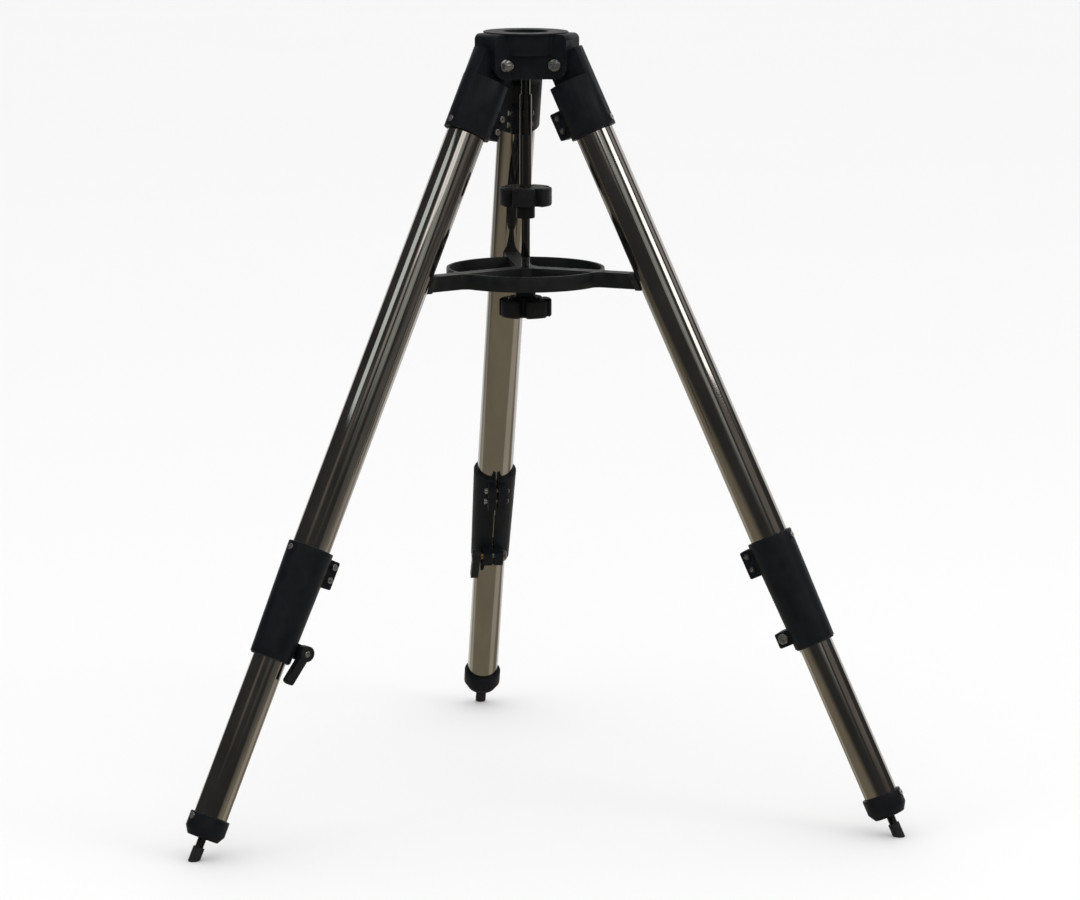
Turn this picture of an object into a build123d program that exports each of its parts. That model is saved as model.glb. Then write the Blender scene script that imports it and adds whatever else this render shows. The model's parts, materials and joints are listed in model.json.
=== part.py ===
from build123d import *
from math import cos, radians, sin
import os

# Field tripod that carries an alt-azimuth telescope mount.
# Millimetres. The origin is the centre of the head's top face, +Z is up, and the rubber
# feet stand FOOT_DEPTH below it. Leg 1 is at 210 degrees, leg 2 at 330 and leg 3 at 90.

# ---- driving dimensions -------------------------------------------------------------
LEG_ANGLES = (210, 330, 90)
FOOT_DEPTH = 1041.5  # top face to floor
SPLAY = 25.6  # leg axis from vertical, degrees, legs open
FIT = 0.05  # radial running clearance
GAP = 0.3  # clearance between faces of different bodies that only pass
RUN_OUT = 10.0  # how far a cut runs past the face it opens
EDGE = 0.8  # small edge break on castings

# head
PLATE_RADIUS = 56.5
PLATE_THICKNESS = 1.6
DRUM_RADIUS = 52.0
DRUM_DEPTH = 29.0
HEAD_HEIGHT = 60.8
WEB_DISTANCE = 41.0  # flat web between two legs, from the axis
EAR_REACH = 67.0
EAR_OUTER = 23.0  # half width over a pair of ears
EAR_TOP_ROUND = 8.0
EAR_BOTTOM_ROUND = 16.0
SLOT_HALF = 13.0
SLOT_FLOOR = 35.0
REGISTER_RADIUS = 30.0
REGISTER_DEPTH = 6.0
STUD_POCKET_RADIUS = 16.0
STUD_POCKET_FLOOR = 26.0
POCKET_ROOF = 12.0  # hollows between the legs, open downwards
POCKET_TIP = 25.0
POCKET_BACK = 36.0
POCKET_HALF = 24.0

# hinge of a leg
HINGE_RADIUS = 51.0
HINGE_DEPTH = 42.0
HINGE_OFFSET = 4.2  # leg axis passes this far outside the hinge axis
M8_RADIUS = 4.0
M8_FLATS = 13.0
WASHER_RADIUS = 8.0
WASHER_THICKNESS = 1.6
HINGE_HEAD_HEIGHT = 5.3
HINGE_NUT_HEIGHT = 6.5
HINGE_BOLT_END = 6.0  # a bolt's end past its nut
BUSH_RADIUS = 6.0
BUSH_HALF = 12.9

# leg tubes
UPPER_RADIUS = 25.4
LOWER_RADIUS = 22.225
TUBE_WALL = 1.5
UPPER_START, UPPER_END = 31.5, 743.5  # stations are distances down the leg from the hinge
LOWER_START, LOWER_END = 441.5, 1067.5

# bracket at the top of a leg
BRACKET_RADIUS = 31.0
BRACKET_TOP, BRACKET_SHOULDER, BRACKET_END = -11.5, 25.5, 99.5
TONGUE_HALF = 12.8
TONGUE_ROUND = 15.5
BRACKET_TAB = (55.5, 93.5)
BRACKET_SCREWS = (64.0, 82.0)
BRACKET_RETAINER = 90.5

# pinch tabs, slit and M5 screws
SLIT_HALF = 1.5
SLIT_START = 10.0
TAB_HALF = 12.5
TAB_REACH = 43.5
TAB_ROOT = 23.5  # the tabs start inside the socket's wall
TAB_ROUND = 2.5
SCREW_LINE = 35.0
M5_RADIUS = 2.5
M5_CLEAR = 2.7
M5_HEAD_RADIUS = 4.2
M5_HEAD_HEIGHT = 5.0
M5_SOCKET_FLATS = 4.0
M5_NUT_FLATS = 8.0
M5_NUT_HEIGHT = 4.0
M5_END = 1.0
M5_SOCKET_DEPTH = 3.0
RETAINER_HEAD = 2.6
RETAINER_TIP = 24.2
RETAINER_SOCKET_DEPTH = 1.3
SPOT_DEPTH = 0.8  # flat spot under a retaining screw's head
SPOT_RADIUS = 4.6

# collar that clamps the lower tube
COLLAR_TOP, COLLAR_END = 679.5, 831.5
COLLAR_TOP_RADIUS, COLLAR_END_RADIUS = 30.5, 27.5
COLLAR_TAB = (685.0, 723.0)
COLLAR_SCREWS = (693.0, 711.0)
COLLAR_RETAINER = 688.5
LINER_RADIUS = 24.0
LINER_START = 745.0
LINER_FLANGE = 1.5
LINER_FLANGE_RADIUS = 26.0
CLAMP_STATION = 811.0
CLAMP_LINE = 33.0
CLAMP_TAB = (801.8, 822.4)
CLAMP_TAB_HALF = 14.0
CLAMP_CLEAR = 0.1

# clamp lever
LEVER_START, LEVER_END = 18.3, 30.2
LEVER_HUB_RADIUS = 10.3
LEVER_LENGTH = 46.0
LEVER_WIDTH = 11.5
LEVER_TIP_ROUND = 4.0
LEVER_STEP = 0.7  # the arm's faces lie this far inside the hub's
LEVER_LEAN = 13.0
CLAMP_BOLT_END = 0.8
CLAMP_SOCKET_FLATS = 4.0
CLAMP_SOCKET_DEPTH = 3.0
INSERT_RADIUS = 5.0
INSERT_RECESS = 3.0  # the insert ends this far inside the hub's outer face

# guide bush and foot
GUIDE_END = 481.5
GUIDE_RIM = 3.0
GUIDE_RIM_BORE = 17.725
CAP_RADIUS = 26.5
CAP_START, CAP_CHAMFER, CAP_END = 1049.5, 1069.5, 1079.5
CAP_END_RADIUS = 20.5
CAP_SCREW = 1056.0
CAP_SPOT_DEPTH = 0.5
FOOT_ROD_RADIUS = 6.0
FOOT_ROD_START, FOOT_ROD_END = 1057.0, 1099.0
TIP_RADIUS = 7.5
TIP_START = 1091.5
TIP_CHAMFER = 1.2

# centre rod and knobs, as depths below the top face
ROD_RADIUS = 6.0
ROD_TOP, ROD_SHOULDER, ROD_STEP, ROD_END = 8.0, 83.5, 225.0, 374.0
ROD_THICK_RADIUS = 8.0
GROOVE_RADIUS = 5.2
GROOVE_TOP, GROOVE_FLOOR = 24.4, 26.0
CLIP_TOP, CLIP_FLOOR = 24.5, 25.9
CLIP_RADIUS = 11.0
CLIP_MOUTH = 6.0
ROD_CHAMFER = 1.0
KNOB_RADIUS = 35.0
KNOB_LOBES = 5
SCALLOP_RADIUS = 7.0
SCALLOP_CENTRE = 31.5
LOBE_ROUND = 3.0
RIM_CHAMFER = 2.5
UPPER_KNOB_VALLEY = 293.0
TRAY_KNOB_VALLEY = 256.0
UPPER_KNOB = (206.6, 230.6)
UPPER_NECK_END, UPPER_NECK_RADIUS = 248.2, 12.5
TRAY_KNOB = (357.0, 380.0)
TRAY_KNOB_HUMP, TRAY_KNOB_HUMP_RADIUS = 353.5, 23.5
TRAY_KNOB_HUMP_TAPER = 20.0
TRAY_NECK_RADIUS = 13.5
KNOB_INSERT_RADIUS = 9.0
KNOB_INSERT_END = 378.0

# tray
TRAY_RADIUS = 105.7
TRAY_TOP, TRAY_BOTTOM = 313.8, 334.3
TRAY_WALL = 4.0
SPOKE_HALF = 11.0
SPOKE_FLARE = 12.0
TRAY_HUB_RADIUS = 18.0
PAD_THICKNESS = 6.0
PAD_LIP = 1.0  # the pad's side edges reach this far past the tube's nearest line
PAD_DROP = 1.5
TRAY_WASHER = (334.5, 336.5)
TRAY_WASHER_RADIUS = 15.0

LEG_START_RADIUS = HINGE_RADIUS + HINGE_OFFSET * cos(radians(SPLAY))
LEG_START_DEPTH = HINGE_DEPTH - HINGE_OFFSET * sin(radians(SPLAY))
LEG_LENGTH = (FOOT_DEPTH - LEG_START_DEPTH) / cos(radians(SPLAY))


# ---- frames ---------------------------------------------------------------------------
def radial(angle):
    return Vector(cos(radians(angle)), sin(radians(angle)), 0)


def radial_plane(angle):
    """Upright plane through the axis and a leg: x is the radius, y is up."""
    return Plane(origin=(0, 0, 0), x_dir=radial(angle), z_dir=radial(angle - 90))


def hinge_plane(angle):
    """Plane across a leg's hinge, z along the hinge bolt."""
    centre = radial(angle) * HINGE_RADIUS - Vector(0, 0, HINGE_DEPTH)
    return Plane(origin=centre, x_dir=radial(angle), z_dir=radial(angle + 90))


def leg_plane(angle):
    """The leg's own frame: x outward, y along the hinge bolt, z up the tube's axis."""
    up = Vector(0, 0, 1)
    outward = radial(angle) * cos(radians(SPLAY)) + up * sin(radians(SPLAY))
    up_leg = up * cos(radians(SPLAY)) - radial(angle) * sin(radians(SPLAY))
    origin = radial(angle) * LEG_START_RADIUS - up * LEG_START_DEPTH
    return Plane(origin=origin, x_dir=outward, z_dir=up_leg)


def station(distance):
    """Plane square to the leg at a distance down it from the hinge."""
    return Plane.XY.offset(-distance)


def beside_leg(offset):
    """Plane beside the leg's own plane: x inward, y up the leg, z along the hinge bolt."""
    return Plane(origin=(0, offset, 0), x_dir=(-1, 0, 0), z_dir=(0, 1, 0))


def export(piece, name):
    piece.label = name
    export_step(piece, f"parts/{name}.step")


os.makedirs("parts", exist_ok=True)


# ---- head -----------------------------------------------------------------------------
def stop_height(radius):
    """Height of the spread stop over a leg's tongue, GAP above the tongue's top face."""
    slope = sin(radians(SPLAY)) / cos(radians(SPLAY))
    rise = (GAP - BRACKET_TOP) / cos(radians(SPLAY))
    return -LEG_START_DEPTH + rise + (radius - LEG_START_RADIUS) * slope


with BuildPart() as head_casting:
    with BuildSketch():
        Circle(PLATE_RADIUS)
    extrude(amount=-PLATE_THICKNESS)
    with BuildSketch(Plane.XY.offset(-PLATE_THICKNESS)):
        Circle(DRUM_RADIUS)
    extrude(amount=PLATE_THICKNESS - DRUM_DEPTH)
    with BuildSketch(Plane.XY.offset(-DRUM_DEPTH)):
        RegularPolygon(WEB_DISTANCE, 3, major_radius=False, rotation=90)
        Circle(DRUM_RADIUS, mode=Mode.INTERSECT)
    extrude(amount=DRUM_DEPTH - HEAD_HEIGHT)
    for angle in LEG_ANGLES:
        with BuildSketch(radial_plane(angle)) as ear:
            with Locations((0, -PLATE_THICKNESS)):
                Rectangle(EAR_REACH, HEAD_HEIGHT - PLATE_THICKNESS, align=(Align.MIN, Align.MAX))
            fillet(ear.vertices().group_by(Axis.X)[-1].sort_by(Axis.Y)[-1], EAR_TOP_ROUND)
            fillet(ear.vertices().group_by(Axis.Y)[0].sort_by(Axis.X)[-1], EAR_BOTTOM_ROUND)
        extrude(amount=EAR_OUTER, both=True)
    for angle in LEG_ANGLES:
        with BuildSketch(radial_plane(angle)):
            with BuildLine():
                Polyline(
                    (SLOT_FLOOR, stop_height(SLOT_FLOOR)),
                    (EAR_REACH + RUN_OUT, stop_height(EAR_REACH + RUN_OUT)),
                    (EAR_REACH + RUN_OUT, -HEAD_HEIGHT - RUN_OUT),
                    (SLOT_FLOOR, -HEAD_HEIGHT - RUN_OUT),
                    close=True,
                )
            make_face()
            with Locations((HINGE_RADIUS, -HINGE_DEPTH)):
                Circle(TONGUE_ROUND + GAP)
                Rectangle(
                    HINGE_RADIUS, HEAD_HEIGHT, align=(Align.MIN, Align.MIN), mode=Mode.SUBTRACT
                )
            with BuildLine():
                Polyline(
                    (HINGE_RADIUS, stop_height(HINGE_RADIUS)),
                    (EAR_REACH + RUN_OUT, stop_height(EAR_REACH + RUN_OUT)),
                    (EAR_REACH + RUN_OUT, -HEAD_HEIGHT - RUN_OUT),
                    (HINGE_RADIUS, -HEAD_HEIGHT - RUN_OUT),
                    close=True,
                )
            make_face()
        extrude(amount=SLOT_HALF, both=True, mode=Mode.SUBTRACT)
        with BuildSketch(hinge_plane(angle)):
            Circle(M8_RADIUS)
        extrude(amount=EAR_OUTER + RUN_OUT, both=True, mode=Mode.SUBTRACT)
    with BuildSketch(Plane.XY.offset(-HEAD_HEIGHT)):
        with PolarLocations(0, 3, start_angle=30):
            Polygon((POCKET_TIP, 0), (POCKET_BACK, -POCKET_HALF), (POCKET_BACK, POCKET_HALF), align=None)
    extrude(amount=HEAD_HEIGHT - POCKET_ROOF, mode=Mode.SUBTRACT)
    with BuildSketch():
        Circle(REGISTER_RADIUS)
    extrude(amount=-REGISTER_DEPTH, mode=Mode.SUBTRACT)
    with BuildSketch():
        Circle(STUD_POCKET_RADIUS)
    extrude(amount=-STUD_POCKET_FLOOR, mode=Mode.SUBTRACT)
    with BuildSketch():
        Circle(ROD_RADIUS + FIT)
    extrude(amount=-HEAD_HEIGHT, mode=Mode.SUBTRACT)
    rim = head_casting.edges().filter_by(GeomType.CIRCLE).group_by(Axis.Z)[-1].sort_by(SortBy.LENGTH)
    chamfer(rim[-1], EDGE)
export(head_casting.part, "head_casting")

bolt_face = EAR_OUTER + WASHER_THICKNESS
with BuildPart() as hinge_bolts:
    for angle in LEG_ANGLES:
        with BuildSketch(hinge_plane(angle).offset(-bolt_face)):
            RegularPolygon(M8_FLATS / 2, 6, major_radius=False)
        extrude(amount=-HINGE_HEAD_HEIGHT)
        with BuildSketch(hinge_plane(angle).offset(-bolt_face)):
            Circle(M8_RADIUS)
        extrude(amount=2 * bolt_face + HINGE_NUT_HEIGHT + HINGE_BOLT_END)
export(hinge_bolts.part, "hinge_bolts")

with BuildPart() as hinge_nuts:
    for angle in LEG_ANGLES:
        with BuildSketch(hinge_plane(angle).offset(bolt_face)):
            RegularPolygon(M8_FLATS / 2, 6, major_radius=False)
            Circle(M8_RADIUS, mode=Mode.SUBTRACT)
        extrude(amount=HINGE_NUT_HEIGHT)
export(hinge_nuts.part, "hinge_nuts")

with BuildPart() as hinge_washers:
    for angle in LEG_ANGLES:
        for side in (1, -1):
            with BuildSketch(hinge_plane(angle).offset(side * EAR_OUTER)):
                Circle(WASHER_RADIUS)
                Circle(M8_RADIUS, mode=Mode.SUBTRACT)
            extrude(amount=side * WASHER_THICKNESS)
export(hinge_washers.part, "hinge_washers")

# ---- leg, upper half, in the leg's own frame ---------------------------------------------
# Points beside the leg are (inward, up the leg): the pinch tabs stand on the inner side.
def tab_outline(stations):
    """Side view of a pair of pinch tabs between two stations, its corners rounded."""
    with BuildSketch(mode=Mode.PRIVATE) as outline:
        with Locations((TAB_ROOT, -stations[1])):
            RectangleRounded(
                TAB_REACH - TAB_ROOT, stations[1] - stations[0], TAB_ROUND, align=(Align.MIN, Align.MIN)
            )
    return outline.sketch


with BuildPart() as leg_bracket:
    with BuildSketch(station(BRACKET_TOP)):
        Circle(BRACKET_RADIUS)
    extrude(amount=BRACKET_TOP - BRACKET_END)
    with BuildSketch(station(BRACKET_SHOULDER)):
        for side in (1, -1):
            with Locations((0, side * TONGUE_HALF)):
                align_y = Align.MIN if side > 0 else Align.MAX
                Rectangle(3 * BRACKET_RADIUS, BRACKET_RADIUS, align=(Align.CENTER, align_y))
    extrude(amount=BRACKET_SHOULDER - BRACKET_TOP + RUN_OUT, mode=Mode.SUBTRACT)
    with BuildSketch(beside_leg(0)):
        with Locations((HINGE_OFFSET, -BRACKET_SHOULDER)):
            Rectangle(BRACKET_RADIUS, 2 * BRACKET_SHOULDER, align=(Align.MIN, Align.MIN))
        with Locations((HINGE_OFFSET, -BRACKET_SHOULDER)):
            Rectangle(TONGUE_ROUND, BRACKET_SHOULDER, align=(Align.MIN, Align.MIN), mode=Mode.SUBTRACT)
        with Locations((HINGE_OFFSET, 0)):
            Circle(TONGUE_ROUND, mode=Mode.SUBTRACT)
    extrude(amount=TONGUE_HALF + EDGE, both=True, mode=Mode.SUBTRACT)
    with BuildSketch(beside_leg(0)):
        add(tab_outline(BRACKET_TAB))
    extrude(amount=TAB_HALF, both=True)
    with BuildSketch(station(BRACKET_END)):
        Circle(UPPER_RADIUS)
    extrude(amount=BRACKET_END - UPPER_START, mode=Mode.SUBTRACT)
    with BuildSketch(station(BRACKET_END)):
        with Locations((-SLIT_START, 0)):
            Rectangle(TAB_REACH, 2 * SLIT_HALF, align=(Align.MAX, Align.CENTER))
    extrude(amount=BRACKET_END - UPPER_START, mode=Mode.SUBTRACT)
    with BuildSketch(beside_leg(0)):
        with Locations(*[(SCREW_LINE, -distance) for distance in BRACKET_SCREWS]):
            Circle(M5_CLEAR)
        with Locations((HINGE_OFFSET, 0)):
            Circle(BUSH_RADIUS)
    extrude(amount=TAB_HALF + RUN_OUT, both=True, mode=Mode.SUBTRACT)
    with BuildSketch(Plane.YZ.offset(LOWER_RADIUS)):
        with Locations((0, -BRACKET_RETAINER)):
            Circle(M5_RADIUS)
    extrude(amount=BRACKET_RADIUS, mode=Mode.SUBTRACT)
    with BuildSketch(Plane.YZ.offset(BRACKET_RADIUS - SPOT_DEPTH)):
        with Locations((0, -BRACKET_RETAINER)):
            Circle(SPOT_RADIUS)
    extrude(amount=RUN_OUT, mode=Mode.SUBTRACT)

with BuildPart() as hinge_bush:
    with BuildSketch(beside_leg(0)):
        with Locations((HINGE_OFFSET, 0)):
            Circle(BUSH_RADIUS)
            Circle(M8_RADIUS + FIT, mode=Mode.SUBTRACT)
    extrude(amount=BUSH_HALF, both=True)

with BuildPart() as upper_tube:
    with BuildSketch(station(UPPER_END)):
        Circle(UPPER_RADIUS)
        Circle(UPPER_RADIUS - TUBE_WALL, mode=Mode.SUBTRACT)
    extrude(amount=UPPER_END - UPPER_START)
    with BuildSketch(Plane.YZ.offset(LOWER_RADIUS)):
        with Locations((0, -BRACKET_RETAINER), (0, -COLLAR_RETAINER)):
            Circle(M5_RADIUS)
    extrude(amount=RUN_OUT, mode=Mode.SUBTRACT)

with BuildPart() as collar:
    with BuildSketch(Plane.XZ):
        with BuildLine():
            Polyline(
                (0, -COLLAR_TOP),
                (COLLAR_TOP_RADIUS - EDGE, -COLLAR_TOP),
                (COLLAR_TOP_RADIUS, -COLLAR_TOP - EDGE),
                (COLLAR_END_RADIUS, -COLLAR_END + EDGE),
                (COLLAR_END_RADIUS - EDGE, -COLLAR_END),
                (0, -COLLAR_END),
                close=True,
            )
        make_face()
    revolve(axis=Axis.Z)
    with BuildSketch(beside_leg(0)):
        add(tab_outline(COLLAR_TAB))
    extrude(amount=TAB_HALF, both=True)
    with BuildSketch(beside_leg(0)):
        add(tab_outline(CLAMP_TAB))
    extrude(amount=CLAMP_TAB_HALF, both=True)
    with BuildSketch(station(UPPER_END)):
        Circle(UPPER_RADIUS)
    extrude(amount=UPPER_END - COLLAR_TOP, mode=Mode.SUBTRACT)
    with BuildSketch(station(COLLAR_END)):
        Circle(LINER_RADIUS)
    extrude(amount=COLLAR_END - UPPER_END, mode=Mode.SUBTRACT)
    with BuildSketch(station(COLLAR_END)):
        with Locations((-SLIT_START, 0)):
            Rectangle(TAB_REACH, 2 * SLIT_HALF, align=(Align.MAX, Align.CENTER))
    extrude(amount=COLLAR_END - COLLAR_TOP, mode=Mode.SUBTRACT)
    with BuildSketch(beside_leg(0)):
        with Locations(*[(SCREW_LINE, -distance) for distance in COLLAR_SCREWS]):
            Circle(M5_CLEAR)
        with Locations((CLAMP_LINE, -CLAMP_STATION)):
            Circle(M8_RADIUS + CLAMP_CLEAR)
    extrude(amount=CLAMP_TAB_HALF + RUN_OUT, both=True, mode=Mode.SUBTRACT)
    with BuildSketch(Plane.YZ.offset(LOWER_RADIUS)):
        with Locations((0, -COLLAR_RETAINER)):
            Circle(M5_RADIUS)
    extrude(amount=COLLAR_TOP_RADIUS, mode=Mode.SUBTRACT)
    with BuildSketch(Plane.YZ.offset(COLLAR_TOP_RADIUS - SPOT_DEPTH)):
        with Locations((0, -COLLAR_RETAINER)):
            Circle(SPOT_RADIUS)
    extrude(amount=RUN_OUT, mode=Mode.SUBTRACT)

with BuildPart() as collar_liner:
    with BuildSketch(station(LINER_START)):
        Circle(LINER_RADIUS)
    extrude(amount=LINER_START - COLLAR_END)
    with BuildSketch(station(COLLAR_END)):
        Circle(LINER_FLANGE_RADIUS)
    extrude(amount=-LINER_FLANGE)
    with BuildSketch(station(LINER_START)):
        Circle(LOWER_RADIUS + FIT)
        with Locations((-SLIT_START, 0)):
            Rectangle(LINER_RADIUS, 2 * SLIT_HALF, align=(Align.MAX, Align.CENTER))
    extrude(amount=LINER_START - COLLAR_END - LINER_FLANGE, mode=Mode.SUBTRACT)

pinch_screws = BRACKET_SCREWS + COLLAR_SCREWS
retainer_faces = {
    BRACKET_RETAINER: BRACKET_RADIUS - SPOT_DEPTH,
    COLLAR_RETAINER: COLLAR_TOP_RADIUS - SPOT_DEPTH,
}
with BuildPart() as leg_screws:
    with BuildSketch(beside_leg(TAB_HALF)):
        with Locations(*[(SCREW_LINE, -distance) for distance in pinch_screws]):
            Circle(M5_HEAD_RADIUS)
    extrude(amount=M5_HEAD_HEIGHT)
    with BuildSketch(beside_leg(TAB_HALF)):
        with Locations(*[(SCREW_LINE, -distance) for distance in pinch_screws]):
            Circle(M5_RADIUS)
    extrude(amount=-2 * TAB_HALF - M5_NUT_HEIGHT - M5_END)
    with BuildSketch(beside_leg(TAB_HALF + M5_HEAD_HEIGHT)):
        with Locations(*[(SCREW_LINE, -distance) for distance in pinch_screws]):
            RegularPolygon(M5_SOCKET_FLATS / 2, 6, major_radius=False)
    extrude(amount=-M5_SOCKET_DEPTH, mode=Mode.SUBTRACT)
    for distance, face in retainer_faces.items():
        with BuildSketch(Plane.YZ.offset(face)):
            with Locations((0, -distance)):
                Circle(M5_HEAD_RADIUS)
        extrude(amount=RETAINER_HEAD)
        with BuildSketch(Plane.YZ.offset(RETAINER_TIP)):
            with Locations((0, -distance)):
                Circle(M5_RADIUS)
        extrude(amount=face - RETAINER_TIP)
        with BuildSketch(Plane.YZ.offset(face + RETAINER_HEAD)):
            with Locations((0, -distance)):
                RegularPolygon(M5_SOCKET_FLATS / 2, 6, major_radius=False)
        extrude(amount=-RETAINER_SOCKET_DEPTH, mode=Mode.SUBTRACT)

with BuildPart() as leg_nuts:
    with BuildSketch(beside_leg(-TAB_HALF)):
        with Locations(*[(SCREW_LINE, -distance) for distance in pinch_screws]):
            RegularPolygon(M5_NUT_FLATS / 2, 6, major_radius=False)
            Circle(M5_RADIUS, mode=Mode.SUBTRACT)
    extrude(amount=-M5_NUT_HEIGHT)

with BuildPart() as clamp_bolt:
    with BuildSketch(beside_leg(-CLAMP_TAB_HALF)):
        with Locations((CLAMP_LINE, -CLAMP_STATION)):
            RegularPolygon(M8_FLATS / 2, 6, major_radius=False)
    extrude(amount=-HINGE_HEAD_HEIGHT)
    with BuildSketch(beside_leg(-CLAMP_TAB_HALF)):
        with Locations((CLAMP_LINE, -CLAMP_STATION)):
            Circle(M8_RADIUS)
    extrude(amount=CLAMP_TAB_HALF + LEVER_END + CLAMP_BOLT_END)
    with BuildSketch(beside_leg(LEVER_END + CLAMP_BOLT_END)):
        with Locations((CLAMP_LINE, -CLAMP_STATION)):
            RegularPolygon(CLAMP_SOCKET_FLATS / 2, 6, major_radius=False)
    extrude(amount=-CLAMP_SOCKET_DEPTH, mode=Mode.SUBTRACT)

with BuildPart() as clamp_lever:
    with BuildSketch(beside_leg(LEVER_START)):
        with Locations((CLAMP_LINE, -CLAMP_STATION)):
            Circle(LEVER_HUB_RADIUS)
    extrude(amount=LEVER_END - LEVER_START)
    with BuildSketch(beside_leg(LEVER_START + LEVER_STEP)) as arm:
        with Locations(Location((CLAMP_LINE, -CLAMP_STATION, 0), (0, 0, -90 - LEVER_LEAN))):
            Rectangle(LEVER_LENGTH, LEVER_WIDTH, align=(Align.MIN, Align.CENTER))
        fillet(arm.vertices().sort_by(Axis.Y)[0:2], LEVER_TIP_ROUND)
    extrude(amount=LEVER_END - LEVER_START - 2 * LEVER_STEP)
    with BuildSketch(beside_leg(LEVER_START)):
        with Locations((CLAMP_LINE, -CLAMP_STATION)):
            Circle(INSERT_RADIUS)
    extrude(amount=LEVER_END - LEVER_START, mode=Mode.SUBTRACT)

with BuildPart() as lever_insert:
    with BuildSketch(beside_leg(CLAMP_TAB_HALF + CLAMP_CLEAR)):
        with Locations((CLAMP_LINE, -CLAMP_STATION)):
            Circle(INSERT_RADIUS)
            Circle(M8_RADIUS + FIT, mode=Mode.SUBTRACT)
    extrude(amount=LEVER_END - CLAMP_TAB_HALF - INSERT_RECESS - CLAMP_CLEAR)

# ---- leg, lower half, in the leg's own frame ---------------------------------------------
with BuildPart() as lower_tube:
    with BuildSketch(station(LOWER_END)):
        Circle(LOWER_RADIUS)
        Circle(LOWER_RADIUS - TUBE_WALL, mode=Mode.SUBTRACT)
    extrude(amount=LOWER_END - LOWER_START)
    with BuildSketch(Plane.YZ.offset(LOWER_RADIUS - 2 * TUBE_WALL)):
        with Locations((0, -CAP_SCREW)):
            Circle(M5_RADIUS)
    extrude(amount=RUN_OUT, mode=Mode.SUBTRACT)

with BuildPart() as guide_bush:
    with BuildSketch(station(GUIDE_END)):
        Circle(UPPER_RADIUS - TUBE_WALL - FIT)
        Circle(LOWER_RADIUS, mode=Mode.SUBTRACT)
    extrude(amount=GUIDE_END - LOWER_START)
    with BuildSketch(station(LOWER_START)):
        Circle(UPPER_RADIUS - TUBE_WALL - FIT)
        Circle(GUIDE_RIM_BORE, mode=Mode.SUBTRACT)
    extrude(amount=GUIDE_RIM)

with BuildPart() as foot_cap:
    with BuildSketch(Plane.XZ):
        with BuildLine():
            Polyline(
                (0, -CAP_START),
                (CAP_RADIUS - EDGE, -CAP_START),
                (CAP_RADIUS, -CAP_START - EDGE),
                (CAP_RADIUS, -CAP_CHAMFER),
                (CAP_END_RADIUS, -CAP_END),
                (0, -CAP_END),
                close=True,
            )
        make_face()
    revolve(axis=Axis.Z)
    with BuildSketch(station(CAP_START)):
        Circle(LOWER_RADIUS)
    extrude(amount=CAP_START - LOWER_END, mode=Mode.SUBTRACT)
    with BuildSketch(station(CAP_START)):
        Circle(FOOT_ROD_RADIUS)
    extrude(amount=CAP_START - CAP_END, mode=Mode.SUBTRACT)
    with BuildSketch(Plane.YZ.offset(LOWER_RADIUS - 2 * TUBE_WALL)):
        with Locations((0, -CAP_SCREW)):
            Circle(M5_RADIUS)
    extrude(amount=CAP_RADIUS, mode=Mode.SUBTRACT)
    with BuildSketch(Plane.YZ.offset(CAP_RADIUS - CAP_SPOT_DEPTH)):
        with Locations((0, -CAP_SCREW)):
            Circle(SPOT_RADIUS)
    extrude(amount=RUN_OUT, mode=Mode.SUBTRACT)

with BuildPart() as foot_rod:
    with BuildSketch(station(FOOT_ROD_START)):
        Circle(FOOT_ROD_RADIUS)
    extrude(amount=FOOT_ROD_START - FOOT_ROD_END)

up_in_leg = (sin(radians(SPLAY)), 0, cos(radians(SPLAY)))
floor_in_leg = Plane(origin=(0, 0, -LEG_LENGTH), z_dir=up_in_leg)
with BuildPart() as foot_tip:
    with BuildSketch(station(TIP_START)):
        Circle(TIP_RADIUS)
    extrude(amount=TIP_START - LEG_LENGTH - TIP_RADIUS)
    split(bisect_by=floor_in_leg, keep=Keep.TOP)
    chamfer(foot_tip.edges().sort_by(Axis.Z)[0], TIP_CHAMFER)
    with BuildSketch(station(TIP_START)):
        Circle(FOOT_ROD_RADIUS)
    extrude(amount=TIP_START - FOOT_ROD_END, mode=Mode.SUBTRACT)

with BuildPart() as foot_screw:
    with BuildSketch(Plane.YZ.offset(CAP_RADIUS - CAP_SPOT_DEPTH)):
        with Locations((0, -CAP_SCREW)):
            Circle(M5_HEAD_RADIUS)
    extrude(amount=RETAINER_HEAD)
    with BuildSketch(Plane.YZ.offset(CAP_RADIUS - CAP_SPOT_DEPTH)):
        with Locations((0, -CAP_SCREW)):
            Circle(M5_RADIUS)
    extrude(amount=LOWER_RADIUS - CAP_RADIUS - CAP_SPOT_DEPTH)
    with BuildSketch(Plane.YZ.offset(CAP_RADIUS - CAP_SPOT_DEPTH + RETAINER_HEAD)):
        with Locations((0, -CAP_SCREW)):
            RegularPolygon(M5_SOCKET_FLATS / 2, 6, major_radius=False)
    extrude(amount=-RETAINER_SOCKET_DEPTH, mode=Mode.SUBTRACT)

LEG_PIECES = {
    "leg_bracket": leg_bracket,
    "hinge_bush": hinge_bush,
    "upper_tube": upper_tube,
    "collar": collar,
    "collar_liner": collar_liner,
    "leg_screws": leg_screws,
    "leg_nuts": leg_nuts,
    "clamp_bolt": clamp_bolt,
    "clamp_lever": clamp_lever,
    "lever_insert": lever_insert,
    "lower_tube": lower_tube,
    "guide_bush": guide_bush,
    "foot_cap": foot_cap,
    "foot_rod": foot_rod,
    "foot_tip": foot_tip,
    "foot_screw": foot_screw,
}
for number, angle in enumerate(LEG_ANGLES, start=1):
    for name, piece in LEG_PIECES.items():
        export(piece.part.moved(leg_plane(angle).location), f"{name}_{number}")

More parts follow.
